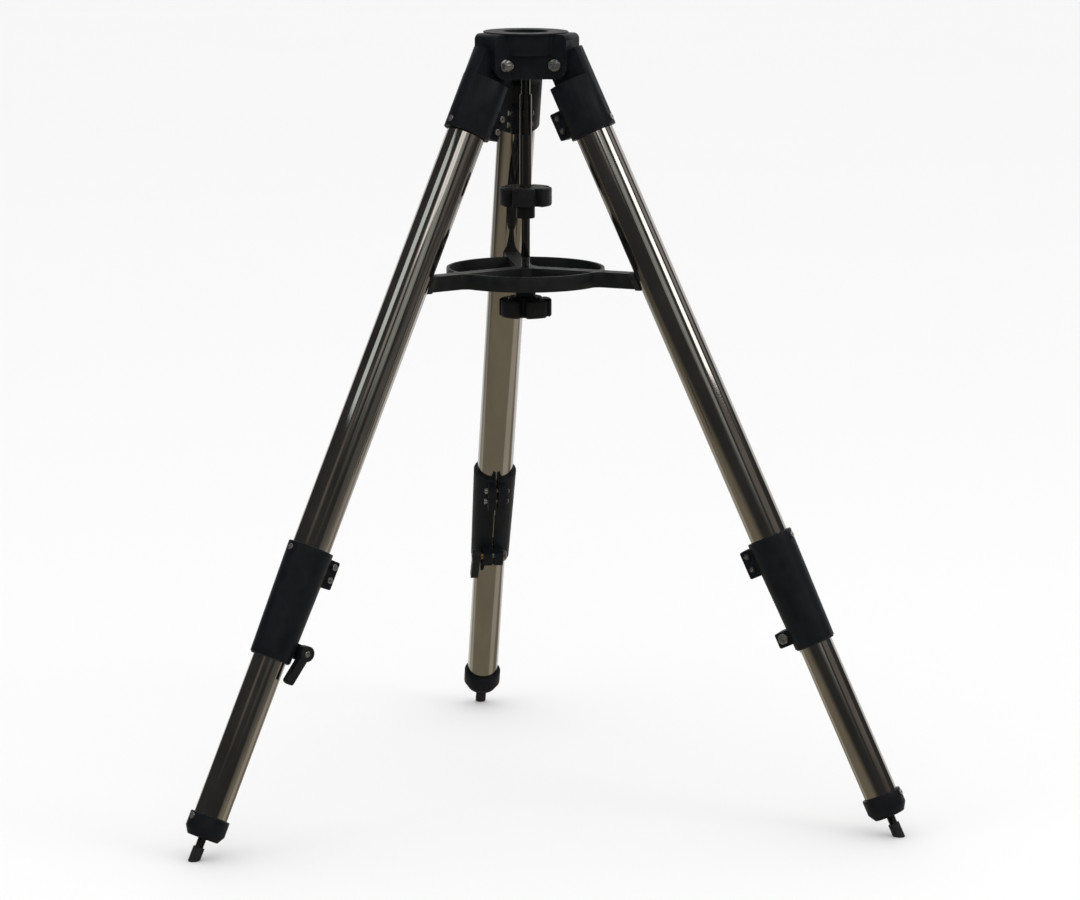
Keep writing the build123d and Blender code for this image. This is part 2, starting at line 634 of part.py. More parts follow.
# ---- centre rod and its knob ---------------------------------------------------------------
with BuildPart() as center_rod:
    with BuildSketch(Plane.XY.offset(-ROD_TOP)):
        Circle(ROD_RADIUS)
    extrude(amount=ROD_TOP - ROD_END)
    with BuildSketch(Plane.XY.offset(-ROD_SHOULDER)):
        Circle(ROD_THICK_RADIUS)
    extrude(amount=ROD_SHOULDER - ROD_STEP)
    ends = center_rod.edges().filter_by(GeomType.CIRCLE).sort_by(Axis.Z)
    chamfer([ends[0], ends[-1]], ROD_CHAMFER)
    with BuildSketch(Plane.XY.offset(-GROOVE_TOP)):
        Circle(ROD_THICK_RADIUS)
        Circle(GROOVE_RADIUS, mode=Mode.SUBTRACT)
    extrude(amount=GROOVE_TOP - GROOVE_FLOOR, mode=Mode.SUBTRACT)
export(center_rod.part, "center_rod")

with BuildPart() as rod_clip:
    with BuildSketch(Plane.XY.offset(-CLIP_TOP)):
        Circle(CLIP_RADIUS)
        Circle(GROOVE_RADIUS + FIT, mode=Mode.SUBTRACT)
        Rectangle(2 * CLIP_RADIUS, CLIP_MOUTH, align=(Align.MIN, Align.CENTER), mode=Mode.SUBTRACT)
    extrude(amount=CLIP_TOP - CLIP_FLOOR)
export(rod_clip.part, "rod_clip")


def lobed_outline(first_valley):
    """Star knob outline: a circle with a rounded valley between each pair of lobes."""
    with BuildSketch(mode=Mode.PRIVATE) as outline:
        Circle(KNOB_RADIUS)
        with PolarLocations(SCALLOP_CENTRE, KNOB_LOBES, start_angle=first_valley):
            Circle(SCALLOP_RADIUS, mode=Mode.SUBTRACT)
        fillet(outline.vertices(), LOBE_ROUND)
    return outline.sketch


with BuildPart() as rod_knob:
    with BuildSketch(Plane.XY.offset(-UPPER_KNOB[1])):
        add(lobed_outline(UPPER_KNOB_VALLEY))
    extrude(amount=UPPER_KNOB[1] - UPPER_KNOB[0])
    chamfer(rod_knob.edges().group_by(Axis.Z)[-1], RIM_CHAMFER)
    chamfer(rod_knob.edges().group_by(Axis.Z)[0], RIM_CHAMFER)
    with BuildSketch(Plane.XY.offset(-UPPER_KNOB[1])):
        Circle(UPPER_NECK_RADIUS)
    extrude(amount=UPPER_KNOB[1] - UPPER_NECK_END)
    with BuildSketch(Plane.XY.offset(-UPPER_NECK_END)):
        Circle(ROD_RADIUS)
    extrude(amount=UPPER_NECK_END - ROD_STEP, mode=Mode.SUBTRACT)
    with BuildSketch(Plane.XY.offset(-ROD_STEP)):
        Circle(ROD_THICK_RADIUS)
    extrude(amount=ROD_STEP - UPPER_KNOB[0], mode=Mode.SUBTRACT)
export(rod_knob.part, "rod_knob")


# ---- tray -----------------------------------------------------------------------------------
def inner_radius(depth, distance):
    """Radius of a line beside a leg, a distance inward from the leg's axis, at a depth."""
    slope = sin(radians(SPLAY)) / cos(radians(SPLAY))
    return LEG_START_RADIUS + (depth - LEG_START_DEPTH) * slope - distance / cos(radians(SPLAY))


def meets_ring(point):
    """Whether a point lies on the ring's outer face."""
    return abs((point.X**2 + point.Y**2) ** 0.5 - TRAY_RADIUS) < EDGE


PAD_BACK = UPPER_RADIUS + GAP + PAD_THICKNESS
PAD_FRONT = UPPER_RADIUS - PAD_LIP

with BuildPart() as tray:
    with BuildSketch(Plane.XY.offset(-TRAY_BOTTOM)):
        Circle(TRAY_RADIUS)
    extrude(amount=TRAY_BOTTOM - TRAY_TOP)
    with BuildSketch(Plane.XY.offset(-TRAY_BOTTOM + TRAY_WALL)):
        Circle(TRAY_RADIUS - TRAY_WALL)
    extrude(amount=TRAY_BOTTOM - TRAY_WALL, mode=Mode.SUBTRACT)
    for angle in LEG_ANGLES:
        with BuildSketch(radial_plane(angle)):
            with BuildLine():
                Polyline(
                    (0, -TRAY_TOP),
                    (inner_radius(TRAY_TOP, PAD_BACK), -TRAY_TOP),
                    (inner_radius(TRAY_BOTTOM, PAD_BACK), -TRAY_BOTTOM),
                    (0, -TRAY_BOTTOM),
                    close=True,
                )
            make_face()
        extrude(amount=SPOKE_HALF, both=True)
    roots = tray.edges().filter_by(Axis.Z).filter_by(lambda edge: meets_ring(edge.center()))
    fillet(roots, SPOKE_FLARE)
    with BuildSketch(Plane.XY.offset(-TRAY_BOTTOM)):
        Circle(TRAY_HUB_RADIUS)
    extrude(amount=TRAY_BOTTOM - TRAY_TOP)
    with BuildSketch(Plane.XY.offset(-TRAY_BOTTOM)):
        Circle(ROD_RADIUS + GAP)
    extrude(amount=TRAY_BOTTOM, mode=Mode.SUBTRACT)
export(tray.part, "tray")

with BuildPart() as tray_pads:
    for angle in LEG_ANGLES:
        with BuildSketch(radial_plane(angle)):
            with BuildLine():
                Polyline(
                    (inner_radius(TRAY_TOP, PAD_BACK), -TRAY_TOP),
                    (inner_radius(TRAY_TOP, PAD_FRONT), -TRAY_TOP),
                    (inner_radius(TRAY_BOTTOM + PAD_DROP, PAD_FRONT), -TRAY_BOTTOM - PAD_DROP),
                    (inner_radius(TRAY_BOTTOM + PAD_DROP, PAD_BACK), -TRAY_BOTTOM - PAD_DROP),
                    close=True,
                )
            make_face()
        extrude(amount=SPOKE_HALF, both=True)
    for angle in LEG_ANGLES:
        with BuildSketch(leg_plane(angle).offset(-TRAY_TOP)):
            Circle(UPPER_RADIUS + GAP)
        extrude(amount=TRAY_RADIUS, both=True, mode=Mode.SUBTRACT)
export(tray_pads.part, "tray_pads")

with BuildPart() as tray_washer:
    with BuildSketch(Plane.XY.offset(-TRAY_WASHER[1])):
        Circle(TRAY_WASHER_RADIUS)
        Circle(ROD_RADIUS + GAP, mode=Mode.SUBTRACT)
    extrude(amount=TRAY_WASHER[1] - TRAY_WASHER[0])
export(tray_washer.part, "tray_washer")

with BuildPart() as tray_knob:
    with BuildSketch(Plane.XY.offset(-TRAY_KNOB[1])):
        add(lobed_outline(TRAY_KNOB_VALLEY))
    extrude(amount=TRAY_KNOB[1] - TRAY_KNOB[0])
    chamfer(tray_knob.edges().group_by(Axis.Z)[-1], RIM_CHAMFER)
    chamfer(tray_knob.edges().group_by(Axis.Z)[0], RIM_CHAMFER)
    with BuildSketch(Plane.XY.offset(-TRAY_KNOB[0])):
        Circle(TRAY_KNOB_HUMP_RADIUS)
    extrude(amount=TRAY_KNOB[0] - TRAY_KNOB_HUMP, taper=TRAY_KNOB_HUMP_TAPER)
    with BuildSketch(Plane.XY.offset(-TRAY_KNOB_HUMP)):
        Circle(TRAY_NECK_RADIUS)
    extrude(amount=TRAY_KNOB_HUMP - TRAY_WASHER[1] - FIT)
    with BuildSketch(Plane.XY.offset(-KNOB_INSERT_END)):
        Circle(KNOB_INSERT_RADIUS)
    extrude(amount=KNOB_INSERT_END, mode=Mode.SUBTRACT)
export(tray_knob.part, "tray_knob")

with BuildPart() as tray_knob_insert:
    with BuildSketch(Plane.XY.offset(-KNOB_INSERT_END)):
        Circle(KNOB_INSERT_RADIUS)
    extrude(amount=KNOB_INSERT_END - TRAY_WASHER[1] - ROD_CHAMFER)
    with BuildSketch(Plane.XY.offset(-ROD_END - ROD_CHAMFER)):
        Circle(ROD_RADIUS + FIT)
    extrude(amount=ROD_END, mode=Mode.SUBTRACT)
export(tray_knob_insert.part, "tray_knob_insert")
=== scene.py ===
import json
from math import cos, degrees, pi, radians, sin, tan

import bmesh
import bpy
import numpy as np
from mathutils import Matrix, Vector


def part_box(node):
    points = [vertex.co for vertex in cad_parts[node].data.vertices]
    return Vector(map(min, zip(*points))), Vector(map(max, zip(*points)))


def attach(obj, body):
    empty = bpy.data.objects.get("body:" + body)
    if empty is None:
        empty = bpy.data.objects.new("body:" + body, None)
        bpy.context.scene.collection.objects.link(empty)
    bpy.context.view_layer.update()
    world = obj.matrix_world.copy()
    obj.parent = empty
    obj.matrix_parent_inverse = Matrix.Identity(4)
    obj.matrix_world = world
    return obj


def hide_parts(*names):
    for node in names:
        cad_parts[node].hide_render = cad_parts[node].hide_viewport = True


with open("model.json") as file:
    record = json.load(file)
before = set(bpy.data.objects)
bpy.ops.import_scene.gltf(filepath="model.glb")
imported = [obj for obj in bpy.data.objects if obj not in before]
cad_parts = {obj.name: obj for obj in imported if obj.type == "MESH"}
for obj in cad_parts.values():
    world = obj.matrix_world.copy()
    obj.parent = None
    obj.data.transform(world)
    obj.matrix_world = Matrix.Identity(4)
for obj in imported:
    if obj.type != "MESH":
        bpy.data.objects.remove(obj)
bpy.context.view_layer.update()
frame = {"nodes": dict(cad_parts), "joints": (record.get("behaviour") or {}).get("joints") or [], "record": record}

MM = 0.001
UP = Vector((0, 0, 1))
NODES = frame["nodes"]
JOINTS = {joint["name"]: joint for joint in frame["joints"]}
LEGS = (1, 2, 3)
FLOOR = min(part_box(f"foot_tip_{leg}")[0].z for leg in LEGS)


# ---- places --------------------------------------------------------------------------
def place_along(origin, axis, side):
    """Matrix whose z runs along axis and whose x is as near to side as that allows."""
    z = Vector(axis).normalized()
    y = z.cross(Vector(side)).normalized()
    x = y.cross(z)
    turn = Matrix((x, y, z)).transposed().to_4x4()
    return Matrix.Translation(Vector(origin)) @ turn


def points_of(node):
    return np.array([v.co for v in NODES[node].data.vertices], float)


def local_points(node, place):
    """A node's points in a place's own coordinates."""
    return to_local(points_of(node), place)


def leg_place(leg):
    """A leg's frame: z up the tube's axis, x outward, y along the hinge bolt."""
    up_leg = -Vector(JOINTS[f"leg_{leg}_extend"]["axis"])
    bolt = Vector(JOINTS[f"leg_{leg}_fold"]["axis"])
    rough = place_along(JOINTS[f"leg_{leg}_fold"]["pos_m"], up_leg, bolt.cross(up_leg))
    tube = local_points(f"lower_tube_{leg}", rough)
    middle = (tube.min(0) + tube.max(0)) / 2
    return rough @ Matrix.Translation((middle[0], middle[1], 0))


def islands(node):
    """The separate solids of a node, each as an array of points."""
    mesh = bmesh.new()
    mesh.from_mesh(NODES[node].data)
    bmesh.ops.remove_doubles(mesh, verts=mesh.verts, dist=1e-6)
    left = set(mesh.verts)
    found = []
    while left:
        front = [left.pop()]
        island = list(front)
        while front:
            for edge in front.pop().link_edges:
                for vertex in edge.verts:
                    if vertex in left:
                        left.remove(vertex)
                        front.append(vertex)
                        island.append(vertex)
        found.append(np.array([v.co for v in island], float))
    mesh.free()
    return found


# ---- measuring the frame's fasteners ---------------------------------------------------
def to_local(points, place):
    return (np.array(place.inverted()) @ np.c_[points, np.ones(len(points))].T).T[:, :3]


def centred(points, place):
    """The place moved onto the points' own axis, and the points in it."""
    local = to_local(points, place)
    middle = (local.min(0) + local.max(0)) / 2
    own = place @ Matrix.Translation((middle[0], middle[1], 0))
    return own, to_local(points, own)


def levels(local):
    """The heights at which a turned or extruded piece changes."""
    return sorted({round(height, 5) for height in local[:, 2]})


def radius_at(local, height):
    ring = local[abs(local[:, 2] - height) < 2e-5]
    return np.hypot(ring[:, 0], ring[:, 1]).max()


# ---- meshes --------------------------------------------------------------------------
def value(entry, angle):
    return entry(angle) if callable(entry) else entry


def skin(mesh, rings, loop):
    """Faces between rings of equal length; closed to a loop, or capped at both ends."""
    count = len(rings[0])
    pairs = list(zip(rings, rings[1:]))
    if loop:
        pairs.append((rings[-1], rings[0]))
    else:
        mesh.faces.new(rings[0])
        mesh.faces.new(rings[-1])
    for low, high in pairs:
        for i in range(count):
            j = (i + 1) % count
            mesh.faces.new((low[i], low[j], high[j], high[i]))
    bmesh.ops.recalc_face_normals(mesh, faces=mesh.faces)


def finish_mesh(name, mesh, smooth=35):
    data = bpy.data.meshes.new(name)
    mesh.to_mesh(data)
    mesh.free()
    for polygon in data.polygons:
        polygon.use_smooth = True
    data.set_sharp_from_angle(angle=radians(smooth))
    piece = bpy.data.objects.new(name, data)
    bpy.context.scene.collection.objects.link(piece)
    return piece


def turned(name, profile, place, segments=64, loop=False, smooth=35):
    """A piece turned about its place's z. The profile is a list of (radius, height), where
    either may be a function of the angle."""
    mesh = bmesh.new()
    rings = []
    for radius, height in profile:
        ring = []
        for i in range(segments):
            angle = 2 * pi * i / segments
            r, z = value(radius, angle), value(height, angle)
            ring.append(mesh.verts.new(place @ Vector((r * cos(angle), r * sin(angle), z))))
        rings.append(ring)
    skin(mesh, rings, loop)
    return finish_mesh(name, mesh, smooth)


def moulded(name, outline, profile, place, loop=False):
    """A moulded star shape. The outline is a closed list of points; the profile's entries
    are (inset, height) for the outline or ("round", radius, height) for a circle."""
    mesh = bmesh.new()
    count = len(outline)
    rings = []
    for entry in profile:
        ring = []
        for i, point in enumerate(outline):
            if entry[0] == "round":
                flat = point.normalized() * entry[1]
            else:
                along = (outline[(i + 1) % count] - outline[i - 1]).normalized()
                flat = point - Vector((along.y, -along.x)) * entry[0]
            ring.append(mesh.verts.new(place @ Vector((flat.x, flat.y, entry[-1]))))
        rings.append(ring)
    skin(mesh, rings, loop)
    return finish_mesh(name, mesh, 30)


def join(name, pieces):
    """One object out of several, so a group of identical fasteners stays one piece."""
    mesh = bmesh.new()
    for piece in pieces:
        mesh.from_mesh(piece.data)
        bpy.data.objects.remove(piece)
    return finish_mesh(name, mesh)


def rounded(radius, low, high, corner, steps=4):
    """Profile of a cylinder's side with both edges rounded."""
    points = []
    for k in range(steps + 1):
        turn = pi / 2 * k / steps
        points.append((radius - corner * (1 - sin(turn)), low + corner * (1 - cos(turn))))
    for k in range(steps + 1):
        turn = pi / 2 * (1 - k / steps)
        points.append((radius - corner * (1 - sin(turn)), high - corner * (1 - cos(turn))))
    return points


def hexagon(flats):
    """Radius of a hexagon, by angle."""
    return lambda angle: flats / 2 / cos(angle % (pi / 3) - pi / 6)


FACE_RADIUS = 0.475  # a hexagon's flat face ends here, as a share of its width


def chamfered_height(flats, face, side):
    """Height of a hexagon's chamfered corner below (side 1) or above (side -1) its face."""
    corner = hexagon(flats)
    return lambda angle: face - side * max(0, corner(angle) - FACE_RADIUS * flats) * tan(radians(30))


THREAD_DEPTH = 0.6  # share of the pitch


def thread(radius, pitch, low, high, steps=6):
    """Profile of a screw thread from low to high; its depth runs out at both ends."""
    depth = THREAD_DEPTH * pitch
    count = max(2, round((high - low) / pitch * steps))
    profile = []
    for k in range(count + 1):
        z = low + (high - low) * k / count
        fade = min(1, (z - low) / pitch, (high - z) / pitch)

        def groove(angle, z=z, fade=fade):
            phase = (z / pitch - angle / (2 * pi)) % 1
            return radius - depth * fade * abs(2 * phase - 1)

        profile.append((groove, z))
    return profile


# ---- materials -----------------------------------------------------------------------
def new_material(name, colour, roughness, metallic=0.0, **sockets):
    material = bpy.data.materials.new(name)
    material.use_nodes = True
    shader = material.node_tree.nodes["Principled BSDF"]
    shader.inputs["Base Color"].default_value = (*colour, 1)
    shader.inputs["Roughness"].default_value = roughness
    shader.inputs["Metallic"].default_value = metallic
    for socket, number in sockets.items():
        shader.inputs[socket.replace("_", " ")].default_value = number
    return material


def add_node(material, kind, **settings):
    node = material.node_tree.nodes.new(kind)
    for key, setting in settings.items():
        if key in node.inputs:
            node.inputs[key].default_value = setting
        else:
            setattr(node, key, setting)
    return node


def link(material, source, output, target, socket):
    material.node_tree.links.new(source.outputs[output], target.inputs[socket])


def mapped(material, turn=(0, 0, 0), scale=(1, 1, 1)):
    """Object coordinates, turned and stretched."""
    coordinates = add_node(material, "ShaderNodeTexCoord")
    mapping = add_node(material, "ShaderNodeMapping", Rotation=turn, Scale=scale)
    link(material, coordinates, "Object", mapping, "Vector")
    return mapping


def noise(material, source, scale, detail=3.0, roughness=0.5):
    texture = add_node(material, "ShaderNodeTexNoise", Scale=scale, Detail=detail, Roughness=roughness)
    link(material, source, "Vector", texture, "Vector")
    return texture


def map_range(material, source, output, numbers):
    """Maps a number from one range to another; numbers are from low, high and to low, high."""
    ramp = add_node(material, "ShaderNodeMapRange")
    for socket, number in zip(("From Min", "From Max", "To Min", "To Max"), numbers):
        ramp.inputs[socket].default_value = number
    link(material, source, output, ramp, "Value")
    return ramp


def rough_range(material, texture, low, high, start=0.3, end=0.7):
    """Drives the roughness between low and high by a texture."""
    ramp = map_range(material, texture, "Fac", (start, end, low, high))
    link(material, ramp, "Result", material.node_tree.nodes["Principled BSDF"], "Roughness")


def colour_range(material, texture, colours, start=0.3, end=0.7):
    """Drives the base colour between two colours by a texture."""
    ramp = add_node(material, "ShaderNodeValToRGB")
    ramp.color_ramp.elements[0].position = start
    ramp.color_ramp.elements[1].position = end
    for element, colour in zip(ramp.color_ramp.elements, colours):
        element.color = (*colour, 1)
    link(material, texture, "Fac", ramp, "Fac")
    link(material, ramp, "Color", material.node_tree.nodes["Principled BSDF"], "Base Color")


def bump(material, texture, strength, distance):
    node = add_node(material, "ShaderNodeBump", Strength=strength, Distance=distance)
    link(material, texture, "Fac", node, "Height")
    link(material, node, "Normal", material.node_tree.nodes["Principled BSDF"], "Normal")


def edge_wear(material, radius, bare, strength=0.8):
    """Rubs the coating through to a paler tone in patches along the sharp edges."""
    tree = material.node_tree
    shader = tree.nodes["Principled BSDF"]
    round_normal = add_node(material, "ShaderNodeBevel", samples=4)
    round_normal.inputs["Radius"].default_value = radius
    flat_normal = add_node(material, "ShaderNodeNewGeometry")
    agreement = add_node(material, "ShaderNodeVectorMath", operation="DOT_PRODUCT")
    link(material, round_normal, "Normal", agreement, 0)
    link(material, flat_normal, "Normal", agreement, 1)
    edge = map_range(material, agreement, "Value", (0.985, 0.90, 0, 1))
    chips = noise(material, mapped(material), 700, 4, 0.6)
    patchy = map_range(material, chips, "Fac", (0.42, 0.60, 0, strength))
    worn = add_node(material, "ShaderNodeMath", operation="MULTIPLY")
    link(material, edge, "Result", worn, 0)
    link(material, patchy, "Result", worn, 1)
    mix = add_node(material, "ShaderNodeMix", data_type="RGBA")
    colour = shader.inputs["Base Color"].links[0].from_socket
    link(material, worn, "Value", mix, 0)
    tree.links.new(colour, mix.inputs[6])
    mix.inputs[7].default_value = (*bare, 1)
    tree.links.new(mix.outputs[2], shader.inputs["Base Color"])


def casting_paint():
    material = new_material("casting_paint", (0.003, 0.004, 0.006), 0.46, Specular_IOR_Level=0.3)
    plain = mapped(material)
    patches = noise(material, plain, 60, 4)
    grain = noise(material, plain, 2600, 2)
    colour_range(material, patches, ((0.0024, 0.0038, 0.0064), (0.0046, 0.0066, 0.0100)))
    rough_range(material, patches, 0.40, 0.54)
    bump(material, grain, 0.25, 0.00008)
    edge_wear(material, 0.0009, (0.030, 0.033, 0.037))
    return material


def moulded_plastic(name, colour, roughness=0.48):
    material = new_material(name, colour, roughness)
    plain = mapped(material)
    patches = noise(material, plain, 90, 3)
    grain = noise(material, plain, 3200, 2)
    colour_range(material, patches, (tuple(0.8 * c for c in colour), tuple(1.3 * c for c in colour)))
    rough_range(material, patches, roughness - 0.07, roughness + 0.07)
    bump(material, grain, 0.3, 0.0001)
    edge_wear(material, 0.0007, tuple(4 * c for c in colour), 0.6)
    return material


def rubber():
    material = new_material("rubber", (0.008, 0.008, 0.009), 0.75)
    plain = mapped(material)
    dust = noise(material, plain, 220, 5)
    grain = noise(material, plain, 1500, 3)
    colour_range(material, dust, ((0.005, 0.005, 0.006), (0.016, 0.015, 0.014)))
    rough_range(material, dust, 0.68, 0.85)
    bump(material, grain, 0.35, 0.0002)
    edge_wear(material, 0.0007, (0.04, 0.038, 0.035), 0.6)
    return material


def polished_tube(name, place, tone=1.0):
    """Polished stainless steel with faint drawing lines along the tube. A tone below 1 darkens the whole steel:
    painted shade.
    """
    dark, pale = ([tone * c for c in colour] for colour in ((0.58, 0.57, 0.54), (0.67, 0.66, 0.63)))
    material = new_material(name, dark, 0.08, 1.0)
    turn = place.to_3x3().inverted().to_euler()
    lines = mapped(material, turn, (1400, 1400, 6))
    soft = mapped(material, turn, (30, 30, 9))
    scratches = noise(material, lines, 1.0, 3)
    haze = noise(material, soft, 1.0, 4)
    colour_range(material, haze, (dark, pale))
    rough_range(material, haze, 0.05, 0.11)
    bump(material, scratches, 0.05, 0.00003)
    edge_wear(material, 0.0006, (0.45, 0.44, 0.42), 0.7)
    return material


def zinc_steel(name, colours):
    material = new_material(name, colours[0], 0.28, 1.0)
    plain = mapped(material)
    patches = noise(material, plain, 500, 4)
    colour_range(material, patches, colours)
    rough_range(material, patches, 0.20, 0.38)
    bump(material, patches, 0.1, 0.00004)
    return material


def brass():
    material = new_material("brass", (0.70, 0.47, 0.17), 0.3, 1.0)
    plain = mapped(material)
    patches = noise(material, plain, 400, 4)
    colour_range(material, patches, ((0.58, 0.36, 0.11), (0.78, 0.55, 0.22)))
    rough_range(material, patches, 0.24, 0.42)
    bump(material, patches, 0.1, 0.00004)
    return material


CASTING = casting_paint()
PLASTIC = moulded_plastic("black_plastic", (0.0045, 0.0056, 0.0068))
BEARING_PLASTIC = moulded_plastic("bearing_plastic", (0.012, 0.012, 0.013), 0.5)
RUBBER = rubber()
STEEL = zinc_steel("bright_steel", ((0.66, 0.66, 0.67), (0.86, 0.86, 0.85)))
DULL_STEEL = zinc_steel("dull_steel", ((0.13, 0.13, 0.14), (0.24, 0.24, 0.25)))
BRASS = brass()
CENTRE_PLACE = Matrix.Identity(4)
LEG_PLACES = {leg: leg_place(leg) for leg in LEGS}
TUBE_STEEL = {leg: polished_tube(f"polished_tube_{leg}", LEG_PLACES[leg]) for leg in LEGS}
# The mounting rod gets the tubes' own steel at 0.45 tone, a darker copy of the same material: painted shade.
SHADED_ROD_STEEL = polished_tube("polished_rod_painted_shade", CENTRE_PLACE, 0.45)
SLOT_MATERIALS = {
    "painted_castings": CASTING,
    "bright_steel": STEEL,
    "brass": BRASS,
    "black_plastic": PLASTIC,
    "black_rubber": RUBBER,
    "bearing_plastic": BEARING_PLASTIC,
    "polished_steel_tube": SHADED_ROD_STEEL,
}
SLOT_OF = {part["node"]: part["material_slot"] for part in frame["record"]["subparts"]}


def dress(piece, material):
    piece.data.materials.clear()
    piece.data.materials.append(material)


def stand_for(piece, node, material):
    """A detailed piece takes a CAD node's place and body, dressed in the given material."""
    dress(piece, material)
    body = next(name for name, nodes in frame["record"]["behaviour"]["bodies"].items() if node in nodes)
    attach(piece, body)
    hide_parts(node)


# ---- CAD nodes that stay: material and fine edges --------------------------------------
EDGE_WIDTHS = {
    "head_casting": 0.8,
    "leg_bracket": 0.7,
    "collar": 0.7,
    "foot_cap": 0.6,
    "tray": 0.8,
    "tray_pads": 0.5,
    "clamp_lever": 1.2,
    "foot_tip": 0.5,
}


def soften_edges(node, width):
    """Welds the imported mesh's seams and rounds its sharp edges."""
    piece = NODES[node]
    weld = piece.modifiers.new("weld", "WELD")
    weld.merge_threshold = 1e-6
    edge = piece.modifiers.new("edge", "BEVEL")
    edge.width = width * MM
    edge.segments = 2
    edge.limit_method = "ANGLE"
    edge.angle_limit = radians(40)
    edge.harden_normals = True


for node, piece in NODES.items():
    dress(piece, SLOT_MATERIALS[SLOT_OF[node]])
    family = node.rstrip("_123")
    if family in EDGE_WIDTHS:
        soften_edges(node, EDGE_WIDTHS[family])


# ---- tubes and turned rings --------------------------------------------------------------
def tube(node, leg, lip=0.4 * MM):
    """A drawn tube with rounded lips, from the CAD node's own radii and ends."""
    local = local_points(node, LEG_PLACES[leg])
    low, high = local[:, 2].min(), local[:, 2].max()
    radii = np.hypot(local[:, 0], local[:, 1])
    outer, inner = radii.max(), radii.min()
    outside = rounded(outer, low, high, lip, 3)
    profile = outside + [(inner, high), (inner, low)]
    stand_for(turned(f"{node}_drawn", profile, LEG_PLACES[leg], 96, loop=True), node, TUBE_STEEL[leg])


for leg in LEGS:
    tube(f"upper_tube_{leg}", leg)
    tube(f"lower_tube_{leg}", leg)


# ---- screws, bolts and nuts --------------------------------------------------------------
def hex_top(flats, seat, top):
    """Profile of a bolt's hexagon head: washer face, chamfered corners and a shallow dish."""
    corner = hexagon(flats)
    return [
        (0.46 * flats, seat),
        (corner, seat + 0.15 * MM),
        (corner, chamfered_height(flats, top, 1)),
        (FACE_RADIUS * flats, top),
        (0.43 * flats, top),
        (0.41 * flats, top - 0.25 * MM),
    ]


def hex_bolt(flats, seat, top, shank, end, place, pitch):
    """Hexagon bolt: head from seat to top and a threaded end."""
    profile = [
        (shank - THREAD_DEPTH * pitch, end),
        *thread(shank, pitch, end + 0.5 * pitch, end + 5 * pitch),
        (shank, seat - 0.2 * MM),
        (shank, seat),
        *hex_top(flats, seat, top),
    ]
    return turned("bolt", profile, place, 48)


def hex_nut(flats, low, high, bore, place):
    corner = hexagon(flats)
    break_in = 0.3 * MM
    profile = [
        (bore, low + break_in),
        (bore + break_in, low),
        (FACE_RADIUS * flats, low),
        (corner, chamfered_height(flats, low, -1)),
        (corner, chamfered_height(flats, high, 1)),
        (FACE_RADIUS * flats, high),
        (bore + break_in, high),
        (bore, high - break_in),
    ]
    return turned("nut", profile, place, 48, loop=True)


def socket_screw(points, place, socket_flats=3 * MM):
    """Socket head screw from a CAD screw's points, its head towards the place's +z."""
    own, local = centred(points, place)
    heights = levels(local)
    end, top = heights[0], heights[-1]
    shank, head = radius_at(local, end), radius_at(local, top)
    seat = min(z for z in heights if radius_at(local, z) > shank + 0.5 * MM)
    socket = hexagon(socket_flats)
    deep = max(z for z in heights if z < top - 0.5 * MM)
    edge = 0.5 * MM
    profile = [(shank - edge, end), (shank, end + edge), (shank, seat), (head - 0.2 * MM, seat)]
    profile += rounded(head, seat, top, edge, 3)[3:]
    profile += [
        (lambda angle: socket(angle) + 0.25 * MM, top),
        (socket, top - 0.25 * MM),
        (socket, deep),
    ]
    return turned("screw", profile, own, 36)


def group(node, name, pieces, material=STEEL):
    stand_for(join(name, pieces), node, material)


HINGES = {
    leg: place_along(JOINTS[f"leg_{leg}_fold"]["pos_m"], -Vector(JOINTS[f"leg_{leg}_fold"]["axis"]), UP)
    for leg in LEGS
}
M8_PITCH = 1.25 * MM


def nearest_leg(points):
    middle = Vector(points.mean(0))
    return min(LEGS, key=lambda leg: (HINGES[leg].translation - middle).length)


def hinge_bolt(points):
    own, local = centred(points, HINGES[nearest_leg(points)])
    heights = levels(local)
    flats = 2 * radius_at(local, heights[-1]) * cos(pi / 6)
    shank = radius_at(local, heights[0])
    return hex_bolt(flats, heights[-2], heights[-1], shank, heights[0], own, M8_PITCH)


def hinge_nut(points):
    own, local = centred(points, HINGES[nearest_leg(points)])
    low, high = levels(local)[0], levels(local)[-1]
    radii = np.hypot(local[:, 0], local[:, 1])
    return hex_nut(2 * radii.max() * cos(pi / 6), low, high, radii.min(), own)


def ring(points, place, corner=0.3 * MM):
    """Washer with its outer edges rounded."""
    own, local = centred(points, place)
    low, high = local[:, 2].min(), local[:, 2].max()
    radii = np.hypot(local[:, 0], local[:, 1])
    profile = rounded(radii.max(), low, high, corner, 3)
    profile += [(radii.min() + corner, high), (radii.min(), high - corner)]
    profile += [(radii.min(), low + corner), (radii.min() + corner, low)]
    return turned("washer", profile, own, 48, loop=True)


group("hinge_bolts", "hinge_hex_bolts", [hinge_bolt(points) for points in islands("hinge_bolts")])
group("hinge_nuts", "hinge_hex_nuts", [hinge_nut(points) for points in islands("hinge_nuts")])
washers = [ring(points, HINGES[nearest_leg(points)]) for points in islands("hinge_washers")]
group("hinge_washers", "hinge_round_washers", washers)
group("tray_washer", "tray_round_washer", [ring(islands("tray_washer")[0], CENTRE_PLACE)])


def across_leg(leg):
    """The leg's frame turned so that z runs along the hinge bolt."""
    place = LEG_PLACES[leg]
    return place_along(place.translation, place.col[1].xyz, place.col[0].xyz)


def outward_of_leg(leg):
    """The leg's frame turned so that z runs outward."""
    place = LEG_PLACES[leg]
    return place_along(place.translation, place.col[0].xyz, place.col[1].xyz)


def leg_screw(points, leg):
    outward = to_local(points, LEG_PLACES[leg])[:, 0].mean() > 0
    return socket_screw(points, outward_of_leg(leg) if outward else across_leg(leg))


def pinch_nut(points, leg):
    own, local = centred(points, across_leg(leg))
    radii = np.hypot(local[:, 0], local[:, 1])
    heights = levels(local)
    return hex_nut(2 * radii.max() * cos(pi / 6), heights[0], heights[-1], radii.min(), own)


